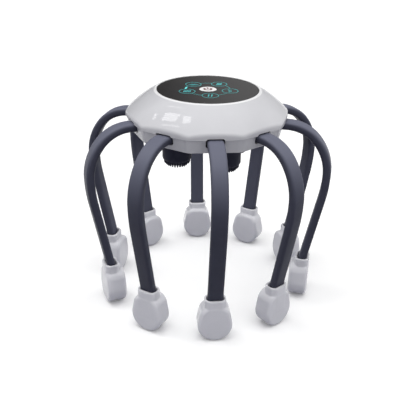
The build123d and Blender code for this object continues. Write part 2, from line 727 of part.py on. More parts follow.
for number, angle in enumerate(arm_angles, start=1):
    side = side_plane(angle)
    start = outward_plane(angle, arm_hinge_r, arm_z)

    with BuildPart() as arm_sleeve:
        with BuildSketch(start):
            RectangleRounded(arm_width, arm_thick, arm_round)
            Rectangle(core_width + 2 * core_gap, core_thick + 2 * core_gap, mode=Mode.SUBTRACT)
        sweep(path=arm_route(angle, 0, 0))
        # rounded root that turns in the anchor's seat
        with BuildSketch(start):
            RectangleRounded(arm_width, arm_thick, arm_round)
            Rectangle(arm_width, arm_thick, align=(Align.CENTER, Align.MAX), mode=Mode.SUBTRACT)
        revolve(axis=Axis(start.origin, side.z_dir), revolution_arc=180)
    finish(arm_sleeve, f"arm_sleeve_{number:02d}")

    with BuildPart() as arm_core:
        with BuildSketch(outward_plane(angle, arm_hinge_r + core_lead, arm_z)):
            Rectangle(core_width, core_thick)
        sweep(path=arm_route(angle, core_lead, core_below_sleeve))
    finish(arm_core, f"arm_core_{number:02d}")

    with BuildPart() as pod_boot:
        with BuildSketch(outward_plane(angle, pod_middle_r - pod_thick / 2, 0)):
            with Locations((0, pod_centre_z)):
                Circle(pod_r)
            with Locations((0, pod_shoulder_z)):
                Circle(pod_shoulder_r)
            make_hull()
        extrude(amount=pod_thick)
        fillet(pod_boot.faces().sort_by(SortBy.AREA)[-2:].edges(), pod_edge_round)
        with BuildSketch(level_plane(angle, collar_r, pod_centre_z)):
            RectangleRounded(collar_depth, collar_width, collar_round)
        extrude(amount=collar_top_z - pod_centre_z)
        fillet(pod_boot.faces().sort_by(Axis.Z)[-1].edges(), collar_lip_round)
        with BuildSketch(level_plane(angle, collar_r, collar_top_z)):
            RectangleRounded(arm_thick + 2 * collar_gap, arm_width + 2 * collar_gap, arm_round + collar_gap)
        extrude(amount=-collar_socket_depth, mode=Mode.SUBTRACT)
        mouth = pod_boot.faces().sort_by(Axis.Z)[-1].inner_wires()[0]
        fillet(mouth.edges(), collar_inner_round)
        # channel of the steel strip, and the motor's chamber below it
        with BuildSketch(level_plane(angle, core_r, sleeve_end_z)):
            Rectangle(core_thick + 2 * core_gap, core_width + 2 * core_gap)
        extrude(amount=pod_centre_z - sleeve_end_z, mode=Mode.SUBTRACT)
        chamber_thick = pod_motor_thick + 2 * pod_motor_gap
        with BuildSketch(outward_plane(angle, collar_r - chamber_thick / 2, pod_centre_z)):
            Circle(pod_motor_r + pod_motor_gap)
        extrude(amount=chamber_thick, mode=Mode.SUBTRACT)
        split(bisect_by=Plane.XY, keep=Keep.TOP)
    finish(pod_boot, f"pod_boot_{number:02d}")

    with BuildPart() as pod_motor:
        with BuildSketch(outward_plane(angle, collar_r - pod_motor_thick / 2, pod_centre_z)):
            Circle(pod_motor_r)
        extrude(amount=pod_motor_thick)
        chamfer(pod_motor.edges().filter_by(GeomType.CIRCLE), pod_motor_edge)
    finish(pod_motor, f"pod_motor_{number:02d}")
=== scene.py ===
import math

import bpy
import numpy as np
import openvdb
from mathutils import Matrix, Vector


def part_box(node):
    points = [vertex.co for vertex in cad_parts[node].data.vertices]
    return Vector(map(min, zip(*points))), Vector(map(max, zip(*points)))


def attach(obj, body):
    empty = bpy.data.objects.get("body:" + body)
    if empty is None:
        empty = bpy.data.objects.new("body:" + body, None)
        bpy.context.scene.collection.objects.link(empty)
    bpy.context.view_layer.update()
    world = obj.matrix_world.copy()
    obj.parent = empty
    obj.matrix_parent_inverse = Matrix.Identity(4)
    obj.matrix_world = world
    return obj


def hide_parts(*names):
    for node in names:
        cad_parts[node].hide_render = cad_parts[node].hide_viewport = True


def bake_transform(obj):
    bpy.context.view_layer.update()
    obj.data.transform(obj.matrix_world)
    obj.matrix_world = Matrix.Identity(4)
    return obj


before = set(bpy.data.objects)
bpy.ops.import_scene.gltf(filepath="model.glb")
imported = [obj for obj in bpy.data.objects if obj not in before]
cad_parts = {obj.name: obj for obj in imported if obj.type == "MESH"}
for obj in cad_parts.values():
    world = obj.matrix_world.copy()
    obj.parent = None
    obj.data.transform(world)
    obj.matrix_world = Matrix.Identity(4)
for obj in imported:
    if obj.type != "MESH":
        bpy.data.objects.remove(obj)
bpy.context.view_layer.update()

# ------------------------------------------------------------------ sizes, in millimetres and degrees
MM = 0.001                   # in metres
ARM_COUNT = 10
FIRST_ARM_ANGLE = -90.0
ARM_ANGLES = [FIRST_ARM_ANGLE + 360.0 / ARM_COUNT * i for i in range(ARM_COUNT)]

# arm: a flat rounded strip along straight runs and arcs in its upright radial plane
ARM_WIDTH = 10.8
ARM_THICK = 5.8
ARM_ROUND = 2.0
ARM_Z = 133.9
HINGE_R = 52.8
ARM_LEAD = 4.8
SHOULDER_RADIUS, SHOULDER_TURN = 27.0, 50.0
ELBOW_RADIUS, ELBOW_TURN = 37.6, 40.0
LEAN_RADIUS, ARM_LEAN = 105.0, 10.8
RECURVE_RADIUS = 60.0
COLLAR_TOP_Z = 32.1
SOCKET_DEPTH = 9.5
ROOT_LENGTH = 2.6            # sleeve's root behind the hinge line, inside the slot
ARM_END_SHRINK = 0.9

# pod: soft boot round the arm's end, a round slab with broad shoulders under a collar
POD_R = 12.0
POD_SHOULDER_R = 8.0
POD_SHOULDER = (2.5, 7.4)    # centre of a shoulder's circle, from the centre of the slab
POD_THICK = 14.0
POD_EDGE = 2.5
POD_SET_IN = 1.5
POD_FOOT_FLAT = 0.12
COLLAR_HALF = (5.4, 7.4)
COLLAR_ROUND = 4.2
COLLAR_LIP = 0.8
COLLAR_BLEND = 0.5
SOCKET_HALF = (3.6, 6.1)
SOCKET_ROUND = 2.9
SOCKET_LIP = 0.3
POD_CELL = 0.45              # cell of the grid that the boot's skin is drawn from
POD_GRID_MARGIN = 1.5
POD_GRID_BAND = 2.0
POD_SETTLE_ROUNDS = 4
POD_SLOPE_STEP = 0.01
POD_SLOPE_LEAST = 0.25       # of its square, where two forms meet

# control panel and its printed symbols
PRINT_THICK = 0.05
SYMBOL_CENTRE = (0.0, -0.7)
SYMBOL_CIRCLE = 15.6
SYMBOL_R = 5.5
SYMBOL_COUNT = 5
LINE_WIDTH = 0.42
LINK_WIDTH = 0.8 * LINE_WIDTH
# slanted bars in a symbol: their places across, lean, half height and width
BAR_MARKS = {
    0: ((-1.1, 1.1), 0.5, 2.6, 0.8),
    2: ((-1.4, -0.45, 0.5, 1.45), 0.6, 2.4, 0.75),
    4: ((-2.1, -1.05, 0.0, 1.05, 2.1), 0.5, 2.2, 0.65),
}
# arcs in a symbol, each with its centre, radius, first and last angle, and width
ARC_MARKS = {
    1: (((-2.6, 0.0), 3.4, -66, 66, 0.45), ((-5.4, 0.0), 4.9, -38, 38, 0.35)),
    3: tuple(((0.0, 2.0), radius, 215, 325, 0.55) for radius in (1.6, 2.9, 4.2)),
}
# lit part of the ring that joins the symbols
LIT_ARC = (158, 175)
LIT_WIDTH = 1.3
LIT_SET_IN = 0.1
LIT_RISE = 0.01
# power mark on the button: open ring and upright bar
POWER_MARK_R = 2.5
POWER_MARK_ARC = (130, 410)
POWER_MARK_WIDTH = 1.4
POWER_BAR = (0.5, 3.8)
POWER_BAR_WIDTH = 1.2

# painted highlight: paler white on the cover above a height round the panel, standing in for the bright
# rim line where light catches its edge
RIM_HIGHLIGHT_Z = 154.3
RIM_HIGHLIGHT_BLEND = 0.3
RIM_HIGHLIGHT_WHITE = (0.85, 0.85, 0.86)

# bristle heads
HEAD_CIRCLE = 24.8
FIRST_HEAD_ANGLE = -63.0
HEAD_COUNT = 4
HEAD_R = 10.35
HEAD_SIDES = 48
HEAD_BEVEL = 4.1
HEAD_TIP_Z = 102.5
HEAD_FACE_Z = 104.4
HEAD_TOP_R = 6.0
# soft corners of the head's outline at its top, bevel and face: steps out and up from each corner
HEAD_TOP_STEPS = ((-0.9, 0.0), (-0.25, -0.25), (0.0, -0.9))
HEAD_BEVEL_STEPS = ((0.0, 0.9), (-0.22, 0.1), (-0.9, -0.75))
HEAD_FACE_STEPS = ((0.6, 0.7), (0.0, 0.12), (-0.8, 0.0))
BRISTLE_PITCH = 1.75
BRISTLE_R = 0.62
BRISTLE_RINGS = 5
BRISTLES_MORE = 6            # more bristles in each ring than in the one before
BRISTLE_SIDES = 8
BRISTLE_ROOT = 0.6           # root of a bristle inside the head
BRISTLE_SHORTER = 0.35       # how much shorter a bristle can be
BRISTLE_LEAN = 0.12          # how far a tip can lean, to either side
# taper of a bristle: share of its length, share of its radius
BRISTLE_TAPER = ((0.0, 1.0), (0.55, 0.92), (0.82, 0.8), (0.95, 0.5), (1.0, 0.18))

# painted highlight on the silicone where it faces up, standing in for overhead light on its gloss:
# where it starts and is full, by the normal's Z
PAINTED_TOP_LIGHT_START, PAINTED_TOP_LIGHT_FULL = -0.12, 0.72
PAINTED_TOP_LIGHT_COLOUR = (0.14, 0.146, 0.195)

# camera, in the frame of the part
CAMERA_PLACE = (-43.8, -430.4, 275.8)
CAMERA_HEADING = 6.05        # from +Y towards +X
CAMERA_PITCH = 26.27         # below the horizon
CAMERA_ROLL = 1.21
CAMERA_LENS = 55.1
CAMERA_SENSOR = 36.0
CAMERA_CLIP = 0.01           # in metres

# light: headings run from +Y towards +X, heights from the level
FLOOR_REACH = 3000.0
FLOOR_DROP = 0.2             # below the pods' feet
FLOOR_SEEN = (1.0, 1.0, 1.0)
FLOOR_BOUNCE = (0.20, 0.20, 0.26)
FLOOR_LIFT = 0.07            # glow of the floor where it is seen
SKY_SEEN = 1.0
SKY_LIGHT = 0.56
# soft round patches of the sky: heading, height, core, reach, amount
GLOWS = (
    (150.0, 84.0, 0.0, 42.0, 1.66),
    (95.0, 28.0, 0.0, 50.0, 0.38),
    (-80.0, 28.0, 0.0, 50.0, 0.20),
    (186.0, 14.0, 0.0, 60.0, 0.12),
)
# duller patches of the sky: heading, height, core, reach, share taken away
DULL_SHARES = ((5.0, 20.0, 22.0, 46.0, 0.62), (-19.0, 16.0, 16.0, 28.0, 0.94))
WINDOW_TARGET = (-25.0, -38.0, 149.0)
WINDOW_DISTANCE = 1.4        # in metres
WINDOW_LEVEL = 7.0
WINDOW_MIDDLE = (-65.5, 58.5, -23.0)
# panes of the window: heading, height, turn, shift across and up, width and height, level
WINDOW_PANES = (
    ("window_pane_1", *WINDOW_MIDDLE, (0.0, 0.0), (8.8, 15.0), WINDOW_LEVEL),
    ("window_pane_2", -84.0, 73.0, -17.0, (0.0, 0.0), (8.5, 7.4), WINDOW_LEVEL),
    ("window_pane_3", -56.0, 43.0, -10.0, (0.0, 0.0), (6.4, 2.6), WINDOW_LEVEL),
    ("window_rail_1", *WINDOW_MIDDLE, (-11.5, -3.0), (1.5, 16.0), 4.5),
    ("window_rail_2", *WINDOW_MIDDLE, (8.5, 5.0), (1.5, 19.0), 5.0),
)
# lamp under the hub that keeps the inner faces of the pods from going dull
FILL_Z = 96.0
FILL_R = 34.0
FILL_LEVEL = 2.8


# ------------------------------------------------------------------ mesh helpers
def new_object(name, points, faces, material, smooth=True):
    """Mesh object from points in millimetres."""
    mesh = bpy.data.meshes.new(name)
    mesh.from_pydata([tuple(c * MM for c in p) for p in points], [], [tuple(f) for f in faces])
    mesh.update()
    for polygon in mesh.polygons:
        polygon.use_smooth = smooth
    mesh.materials.append(material)
    obj = bpy.data.objects.new(name, mesh)
    bpy.context.scene.collection.objects.link(obj)
    return obj


def turned(points, angle):
    """Points turned about the Z axis by an angle in degrees."""
    cosine, sine = math.cos(math.radians(angle)), math.sin(math.radians(angle))
    x, y, z = np.asarray(points, float).T
    return np.stack([x * cosine - y * sine, x * sine + y * cosine, z], 1)


def rounded_rectangle(half_x, half_y, radius, steps=5):
    """Closed outline of a rectangle with round corners, anticlockwise."""
    outline = []
    for corner, (side_x, side_y) in enumerate(((1, 1), (-1, 1), (-1, -1), (1, -1))):
        centre_x, centre_y = side_x * (half_x - radius), side_y * (half_y - radius)
        for step in range(steps + 1):
            angle = math.radians(90 * corner + 90 * step / steps)
            outline.append((centre_x + radius * math.cos(angle), centre_y + radius * math.sin(angle)))
    return outline


def loft(rings, close_ends=True):
    """Points and faces of a skin over rings of equal length."""
    count = len(rings[0])
    points = [p for ring in rings for p in ring]
    faces = []
    for i in range(len(rings) - 1):
        for j in range(count):
            k = (j + 1) % count
            faces.append((i * count + j, i * count + k, (i + 1) * count + k, (i + 1) * count + j))
    if close_ends:
        faces.append(tuple(reversed(range(count))))
        last = (len(rings) - 1) * count
        faces.append(tuple(range(last, last + count)))
    return points, faces


# ------------------------------------------------------------------ materials
def material_nodes(name):
    """New material, its node tree and its shader."""
    material = bpy.data.materials.new(name)
    material.use_nodes = True
    tree = material.node_tree
    return material, tree, tree.nodes["Principled BSDF"]


def noise(tree, scale, detail=3.0, roughness=0.55):
    """Noise in the piece's own coordinates."""
    coordinates = tree.nodes.new("ShaderNodeTexCoord")
    texture = tree.nodes.new("ShaderNodeTexNoise")
    texture.inputs["Scale"].default_value = scale
    texture.inputs["Detail"].default_value = detail
    texture.inputs["Roughness"].default_value = roughness
    tree.links.new(coordinates.outputs["Object"], texture.inputs["Vector"])
    return texture.outputs["Fac"]


def ramp(tree, value, low, high, start=0.3, end=0.7):
    """Value that goes from low to high as the input goes from start to end."""
    node = tree.nodes.new("ShaderNodeMapRange")
    node.inputs["From Min"].default_value = start
    node.inputs["From Max"].default_value = end
    node.inputs["To Min"].default_value = low
    node.inputs["To Max"].default_value = high
    tree.links.new(value, node.inputs["Value"])
    return node.outputs["Result"]


def colour_mix(tree, value, low, high):
    """Colour between two, by a share. Each of the two is a colour or an output."""
    node = tree.nodes.new("ShaderNodeMix")
    node.data_type = "RGBA"
    tree.links.new(value, node.inputs["Factor"])
    for socket, colour in ((node.inputs["A"], low), (node.inputs["B"], high)):
        if isinstance(colour, tuple):
            socket.default_value = (*colour, 1)
        else:
            tree.links.new(colour, socket)
    return node.outputs["Result"]


def bump(tree, shader, height, distance, strength=0.5):
    """Fine relief on a shader's surface."""
    node = tree.nodes.new("ShaderNodeBump")
    node.inputs["Strength"].default_value = strength
    node.inputs["Distance"].default_value = distance
    tree.links.new(height, node.inputs["Height"])
    tree.links.new(node.outputs["Normal"], shader.inputs["Normal"])


def finish_material(
    name, low, high, rough_low, rough_high, patch=60.0, grain=2500.0, grain_height=0.00002, **sockets
):
    """Moulded or worked surface: two close colours in soft patches, uneven gloss, fine grain."""
    material, tree, shader = material_nodes(name)
    patches = noise(tree, patch)
    tree.links.new(colour_mix(tree, ramp(tree, patches, 0, 1), low, high), shader.inputs["Base Color"])
    wear = noise(tree, patch * 4)
    tree.links.new(ramp(tree, wear, rough_low, rough_high), shader.inputs["Roughness"])
    bump(tree, shader, noise(tree, grain, detail=2.0), grain_height)
    for socket, value in sockets.items():
        shader.inputs[socket.replace("_", " ")].default_value = value
    return material


def lay_over(material, source, start, end, colour):
    """Blend a colour over the surface as the Z part of a coordinate goes from start to end."""
    tree = material.node_tree
    shader = tree.nodes["Principled BSDF"]
    coordinates = tree.nodes.new("ShaderNodeTexCoord")
    parts = tree.nodes.new("ShaderNodeSeparateXYZ")
    tree.links.new(coordinates.outputs[source], parts.inputs["Vector"])
    share = ramp(tree, parts.outputs["Z"], 0.0, 1.0, start, end)
    base = shader.inputs["Base Color"]
    tree.links.new(colour_mix(tree, share, base.links[0].from_socket, colour), base)


SHELL_WHITE = finish_material(
    "shell_white", (0.585, 0.585, 0.61), (0.61, 0.61, 0.635), 0.40, 0.46,
    grain=900.0, grain_height=0.0000002, Specular_IOR_Level=0.15, Coat_Weight=0.5, Coat_Roughness=0.04,
)
# painted highlight: the cover turns paler above the rim's height, round the panel
lay_over(SHELL_WHITE, "Object", (RIM_HIGHLIGHT_Z - RIM_HIGHLIGHT_BLEND) * MM, RIM_HIGHLIGHT_Z * MM, RIM_HIGHLIGHT_WHITE)
PANEL_BLACK = finish_material(
    "panel_black", (0.014, 0.0125, 0.013), (0.018, 0.0165, 0.017), 0.16, 0.22,
    grain=4000.0, grain_height=0.000002,
)
# painted glow: the white button gives off a weak light of its own, though no lamp is in it
BUTTON_WHITE = finish_material(
    "button_white", (0.87, 0.86, 0.86), (0.90, 0.89, 0.89), 0.18, 0.24,
    grain=1500.0, grain_height=0.000003, Coat_Weight=0.3,
    Emission_Color=(1.0, 0.98, 0.98, 1.0), Emission_Strength=0.14,
)
ARM_SILICONE = finish_material(
    "arm_silicone", (0.034, 0.036, 0.056), (0.041, 0.043, 0.066), 0.42, 0.50,
    patch=90.0, grain=5200.0, grain_height=0.000012, Specular_IOR_Level=0.12,
)
# painted highlight: the arm silicone turns paler where its normal faces up
lay_over(ARM_SILICONE, "Normal", PAINTED_TOP_LIGHT_START, PAINTED_TOP_LIGHT_FULL, PAINTED_TOP_LIGHT_COLOUR)
POD_WHITE = finish_material(
    "pod_white", (0.685, 0.685, 0.725), (0.715, 0.715, 0.755), 0.34, 0.42,
    patch=80.0, grain=4200.0, grain_height=0.000008, Specular_IOR_Level=0.3,
    Coat_Weight=0.8, Coat_Roughness=0.12,
    Subsurface_Weight=0.3, Subsurface_Scale=0.004, Subsurface_Radius=(1.0, 1.0, 1.0),
)
BRISTLE_BLACK = finish_material(
    "bristle_black", (0.022, 0.023, 0.038), (0.032, 0.033, 0.052), 0.5, 0.6,
    patch=200.0, grain=5200.0, grain_height=0.00001, Specular_IOR_Level=0.08,
)
GEAR_PLASTIC = finish_material("gear_plastic", (0.70, 0.67, 0.60), (0.76, 0.74, 0.68), 0.34, 0.44)
FRAME_GREY = finish_material("frame_grey", (0.05, 0.05, 0.055), (0.065, 0.065, 0.07), 0.5, 0.6)
ANCHOR_DARK = finish_material("anchor_dark", (0.018, 0.018, 0.022), (0.026, 0.026, 0.03), 0.5, 0.62)
BATTERY_FOIL = finish_material(
    "battery_foil", (0.50, 0.51, 0.53), (0.58, 0.59, 0.61), 0.24, 0.36, Metallic=0.85
)
MOTOR_METAL = finish_material(
    "motor_metal", (0.55, 0.55, 0.57), (0.63, 0.63, 0.65), 0.22, 0.32, Metallic=1.0
)
SPRING_STEEL = finish_material(
    "spring_steel", (0.30, 0.33, 0.40), (0.40, 0.42, 0.47), 0.25, 0.34, Metallic=1.0
)
SOCKET_STEEL = finish_material(
    "socket_steel", (0.60, 0.60, 0.62), (0.68, 0.68, 0.70), 0.22, 0.30, Metallic=1.0
)
SCREW_STEEL = finish_material(
    "screw_steel", (0.34, 0.34, 0.36), (0.44, 0.44, 0.46), 0.28, 0.38, Metallic=1.0
)
CIRCUIT_GREEN = finish_material(
    "circuit_green", (0.012, 0.10, 0.05), (0.02, 0.15, 0.075), 0.3, 0.4, patch=300.0
)


def print_material(name, colour, glow, grain=3000.0, shade=0.82):
    """Printed ink: one colour with a fine darker speckle, uneven gloss and a weak glow."""
    material, tree, shader = material_nodes(name)
    speckle = noise(tree, grain, detail=2.0)
    darker = tuple(c * shade for c in colour)
    ink = colour_mix(tree, ramp(tree, speckle, 0, 1, start=0.35, end=0.65), darker, colour)
    tree.links.new(ink, shader.inputs["Base Color"])
    tree.links.new(ramp(tree, speckle, low=0.35, high=0.5), shader.inputs["Roughness"])
    shader.inputs["Emission Color"].default_value = (*colour, 1)
    shader.inputs["Emission Strength"].default_value = glow
    return material


PRINT_TEAL = print_material("print_teal", (0.06, 0.38, 0.385), 0.28)
PRINT_LIT = print_material("print_lit", (0.12, 0.66, 0.64), 0.45)
PRINT_RED = print_material("print_red", (0.12, 0.006, 0.018), 0.02)

NODE_MATERIALS = {
    "top_shell": SHELL_WHITE, "base_shell": SHELL_WHITE, "control_panel": PANEL_BLACK,
    "power_button": BUTTON_WHITE, "main_board": CIRCUIT_GREEN, "usb_c_socket": SOCKET_STEEL,
    "battery_cell": BATTERY_FOIL, "gear_motor": MOTOR_METAL, "gear_frame": FRAME_GREY,
    "arm_anchors": ANCHOR_DARK, "case_screws": SCREW_STEEL, "drive_pinion": GEAR_PLASTIC,
    "head_drive": GEAR_PLASTIC, "massage_head": BRISTLE_BLACK, "arm_sleeve": ARM_SILICONE,
    "arm_core": SPRING_STEEL, "pod_boot": POD_WHITE, "pod_motor": MOTOR_METAL,
}
for node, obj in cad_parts.items():
    family = node.rstrip("0123456789").rstrip("_")
    obj.data.materials.clear()
    obj.data.materials.append(NODE_MATERIALS[family])


# ------------------------------------------------------------------ arms
def arm_route(run_step=2.5, turn_step=4.0, wide_radius=30.0):
    """Centreline of an arm as (radius, height, heading), the heading in degrees below the level."""
    r, z, heading = HINGE_R - ROOT_LENGTH, ARM_Z, 0.0
    route = [(r, z, heading)]

    def run(length):
        """Straight stretch."""
        nonlocal r, z
        steps = max(2, round(length / run_step))
        for _ in range(steps):
            r += length / steps * math.cos(math.radians(heading))
            z -= length / steps * math.sin(math.radians(heading))
            route.append((r, z, heading))

    def bend(radius, turn):
        """Arc, downwards where the turn is positive."""
        nonlocal r, z, heading
        steps = max(3, round(abs(turn) * max(1.0, radius / wide_radius) / turn_step))
        chord = 2 * radius * math.sin(math.radians(abs(turn) / steps / 2))
        for _ in range(steps):
            half = turn / steps / 2
            r += chord * math.cos(math.radians(heading + half))
            z -= chord * math.sin(math.radians(heading + half))
            heading += 2 * half
            route.append((r, z, heading))

    run(ROOT_LENGTH + ARM_LEAD)
    bend(SHOULDER_RADIUS, SHOULDER_TURN)
    bend(ELBOW_RADIUS, ELBOW_TURN)
    bend(LEAN_RADIUS, ARM_LEAN)
    drop = z - (COLLAR_TOP_Z - SOCKET_DEPTH) - RECURVE_RADIUS * math.sin(math.radians(ARM_LEAN))
    run(drop / math.cos(math.radians(ARM_LEAN)))
    bend(RECURVE_RADIUS, -ARM_LEAN)
    return route


def arm_rings():
    """Rings of the sleeve's skin, with both ends slightly drawn in."""
    route = arm_route()
    section = rounded_rectangle(ARM_THICK / 2, ARM_WIDTH / 2, ARM_ROUND)
    rings = []
    for index, (r, z, heading) in enumerate(route):
        cosine, sine = math.cos(math.radians(heading)), math.sin(math.radians(heading))
        shrink = ARM_END_SHRINK if index in (0, len(route) - 1) else 1.0
        rings.append([(r + u * shrink * sine, v * shrink, z + u * shrink * cosine) for u, v in section])
    return rings


arm_points, arm_faces = loft(arm_rings())
for number, angle in enumerate(ARM_ANGLES, start=1):
    arm = new_object(f"arm_skin_{number:02d}", turned(arm_points, angle), arm_faces, ARM_SILICONE)
    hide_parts(f"arm_sleeve_{number:02d}")
    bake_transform(arm)


# ------------------------------------------------------------------ pods
def rounded_box_distance(x, y, half, radius):
    """Signed distance to a rectangle with round corners."""
    dx, dy = np.abs(x) - (half[0] - radius), np.abs(y) - (half[1] - radius)
    outside = np.hypot(np.maximum(dx, 0), np.maximum(dy, 0))
    return outside + np.minimum(np.maximum(dx, dy), 0) - radius


def capped(flat, z, low, high, radius):
    """A flat outline drawn out between two heights, with its end edges rounded."""
    dz = np.abs(z - (low + high) / 2) - (high - low) / 2 + radius
    dxy = flat + radius
    outside = np.hypot(np.maximum(dxy, 0), np.maximum(dz, 0))
    return outside + np.minimum(np.maximum(dxy, dz), 0) - radius


def smooth_union(a, b, width):
    """Two signed distances joined, with a soft blend of the width."""
    share = np.clip(0.5 + 0.5 * (b - a) / width, 0, 1)
    return b * (1 - share) + a * share - width * share * (1 - share)


def slab_distance(y, z):
    """Signed distance to the hull of a large circle and two smaller ones above it."""
    y = np.abs(y)
    length = math.hypot(*POD_SHOULDER)
    out, up = POD_SHOULDER[0] / length, POD_SHOULDER[1] / length
    along, across = y * out + z * up, y * up - z * out
    lean = (POD_R - POD_SHOULDER_R) / length
    slope = math.sqrt(1 - lean**2)
    reach = slope * along - lean * across
    foot = np.hypot(along, across) - POD_R
    flank = slope * across + lean * along - POD_R
    shoulder = np.hypot(across, along - length) - POD_SHOULDER_R
    side = np.where(reach < 0, foot, np.where(reach > slope * length, shoulder, flank))
    top = z - (POD_SHOULDER[1] + POD_SHOULDER_R)
    return np.where((across < 0) & (y < POD_SHOULDER[0]), top, side)


def pod_distance(p):
    """Signed distance to the boot: slab and collar run together softly, minus the arm's socket."""
    x, y, z = p[..., 0], p[..., 1], p[..., 2]
    centre_z = POD_R - POD_FOOT_FLAT
    slab_flat = slab_distance(y, z - centre_z)
    slab = capped(slab_flat, x + POD_SET_IN, -POD_THICK / 2, POD_THICK / 2, POD_EDGE)
    collar_flat = rounded_box_distance(x, y, COLLAR_HALF, COLLAR_ROUND)
    collar = capped(collar_flat, z, centre_z, COLLAR_TOP_Z, COLLAR_LIP)
    socket_flat = rounded_box_distance(x, y, SOCKET_HALF, SOCKET_ROUND)
    floor_z = COLLAR_TOP_Z - SOCKET_DEPTH
    socket = capped(socket_flat, z, floor_z, COLLAR_TOP_Z + 2 * SOCKET_DEPTH, SOCKET_LIP)
    body = smooth_union(slab, collar, COLLAR_BLEND)
    body = -smooth_union(-body, socket, SOCKET_LIP)
    return np.maximum(body, -z)


def pod_mesh():
    """Quads of the boot, each point settled onto the exact surface."""
    low = np.array([-POD_SET_IN - POD_THICK / 2, -POD_R, 0.0]) - POD_GRID_MARGIN
    high = np.array([POD_THICK / 2 - POD_SET_IN, POD_R, COLLAR_TOP_Z]) + POD_GRID_MARGIN
    counts = np.ceil((high - low) / POD_CELL).astype(int) + 1
    axes = [low[i] + POD_CELL * np.arange(counts[i]) for i in range(3)]
    cells = np.stack(np.meshgrid(*axes, indexing="ij"), -1)
    grid = openvdb.FloatGrid(background=POD_GRID_BAND)
    distances = np.clip(pod_distance(cells), -POD_GRID_BAND, POD_GRID_BAND)
    grid.copyFromArray(distances.astype(np.float32))
    points, quads = grid.convertToQuads()
    points = low + POD_CELL * np.asarray(points, float)
    for _ in range(POD_SETTLE_ROUNDS):
        value = pod_distance(points)
        slope = np.stack(
            [
                (pod_distance(points + step) - pod_distance(points - step)) / (2 * POD_SLOPE_STEP)
                for step in np.eye(3) * POD_SLOPE_STEP
            ],
            -1,
        )
        steepness = np.maximum((slope**2).sum(-1), POD_SLOPE_LEAST)
        points = points - (value / steepness)[:, None] * slope
    points[:, 2] = np.maximum(points[:, 2], 0.0)
    return points, np.asarray(quads)[:, ::-1]


pod_points, pod_quads = pod_mesh()
first_pod_low, first_pod_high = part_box("pod_boot_01")
collar_r = -(first_pod_low.y + first_pod_high.y) / 2 / MM + POD_SET_IN
for number, angle in enumerate(ARM_ANGLES, start=1):
    placed = turned(pod_points + np.array([collar_r, 0, 0]), angle)
    pod = new_object(f"pod_skin_{number:02d}", placed, pod_quads, POD_WHITE)
    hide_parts(f"pod_boot_{number:02d}")
    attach(pod, f"arm_{number:02d}")


# ------------------------------------------------------------------ bristle heads
def level_ring(x, y, z, radius, sides):
    """Points of a level circle."""
    turns = [2 * math.pi * k / sides for k in range(sides)]
    return [(x + radius * math.cos(a), y + radius * math.sin(a), z) for a in turns]


def head_profile():
    """Outline of a head's body as (radius, height), from its flat top to its flat face."""
    top_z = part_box("massage_head_1")[1].z / MM
    bevel_z = HEAD_FACE_Z + HEAD_BEVEL
    flat_r = HEAD_R - HEAD_BEVEL
    profile = [(HEAD_TOP_R, top_z)]
    for corner_r, corner_z, steps in (
        (HEAD_R, top_z, HEAD_TOP_STEPS),
        (HEAD_R, bevel_z, HEAD_BEVEL_STEPS),
        (flat_r, HEAD_FACE_Z, HEAD_FACE_STEPS),
    ):
        profile += [(corner_r + out, corner_z + up) for out, up in steps]
    return profile


def bristle_rings(x, y, surface_z, random):
    """Rings of a round-tipped bristle, from its root to a tip of random length and lean."""
    tip_z = surface_z - (HEAD_FACE_Z - HEAD_TIP_Z) + random.uniform(0, BRISTLE_SHORTER)
    lean = random.uniform(-BRISTLE_LEAN, BRISTLE_LEAN, 2)
    rings = []
    for share, width in BRISTLE_TAPER:
        z = surface_z + BRISTLE_ROOT + (tip_z - surface_z - BRISTLE_ROOT) * share
        place = (x + lean[0] * share, y + lean[1] * share, z)
        rings.append(level_ring(*place, BRISTLE_R * width, BRISTLE_SIDES))
    return rings


def head_mesh(seed):
    """Body of the head with a bevelled end, and rows of round-tipped bristles on it."""
    random = np.random.default_rng(seed)
    points, faces = loft([level_ring(0, 0, z, r, HEAD_SIDES) for r, z in reversed(head_profile())])
    for ring in range(BRISTLE_RINGS + 1):
        ring_r = ring * BRISTLE_PITCH
        surface_z = HEAD_FACE_Z + max(ring_r - (HEAD_R - HEAD_BEVEL), 0)
        count = max(1, BRISTLES_MORE * ring)
        for k in range(count):
            a = 2 * math.pi * (k + 0.5 * (ring % 2)) / count
            x, y = ring_r * math.cos(a), ring_r * math.sin(a)
            bristle_points, bristle_faces = loft(bristle_rings(x, y, surface_z, random)[::-1])
            base = len(points)
            points += bristle_points
            faces += [tuple(base + i for i in face) for face in bristle_faces]
    return points, faces


for number in range(1, HEAD_COUNT + 1):
    angle = math.radians(FIRST_HEAD_ANGLE + 360.0 / HEAD_COUNT * (number - 1))
    points, faces = head_mesh(number)
    centre = np.array([HEAD_CIRCLE * math.cos(angle), HEAD_CIRCLE * math.sin(angle), 0])
    head = new_object(f"bristle_head_{number}", np.asarray(points) + centre, faces, BRISTLE_BLACK)
    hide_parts(f"massage_head_{number}")
    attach(head, f"head_{number}")


# ------------------------------------------------------------------ printed symbols
def stroke(points, width, z, closed=False):
    """Raised printed line of a given width along points on a level face."""
    points = np.asarray(points, float)
    count = len(points)
    rings = []
    for i in range(count):
        before = points[i - 1] if (closed or i > 0) else points[i]
        after = points[(i + 1) % count] if (closed or i < count - 1) else points[i]
        along = after - before
        along = along / np.hypot(*along)
        side = np.array([-along[1], along[0]]) * width / 2
        left, right = points[i] + side, points[i] - side
        rings.append([(*left, z), (*left, z + PRINT_THICK), (*right, z + PRINT_THICK), (*right, z)])
    if closed:
        rings.append(rings[0])
    return loft(rings, close_ends=not closed)


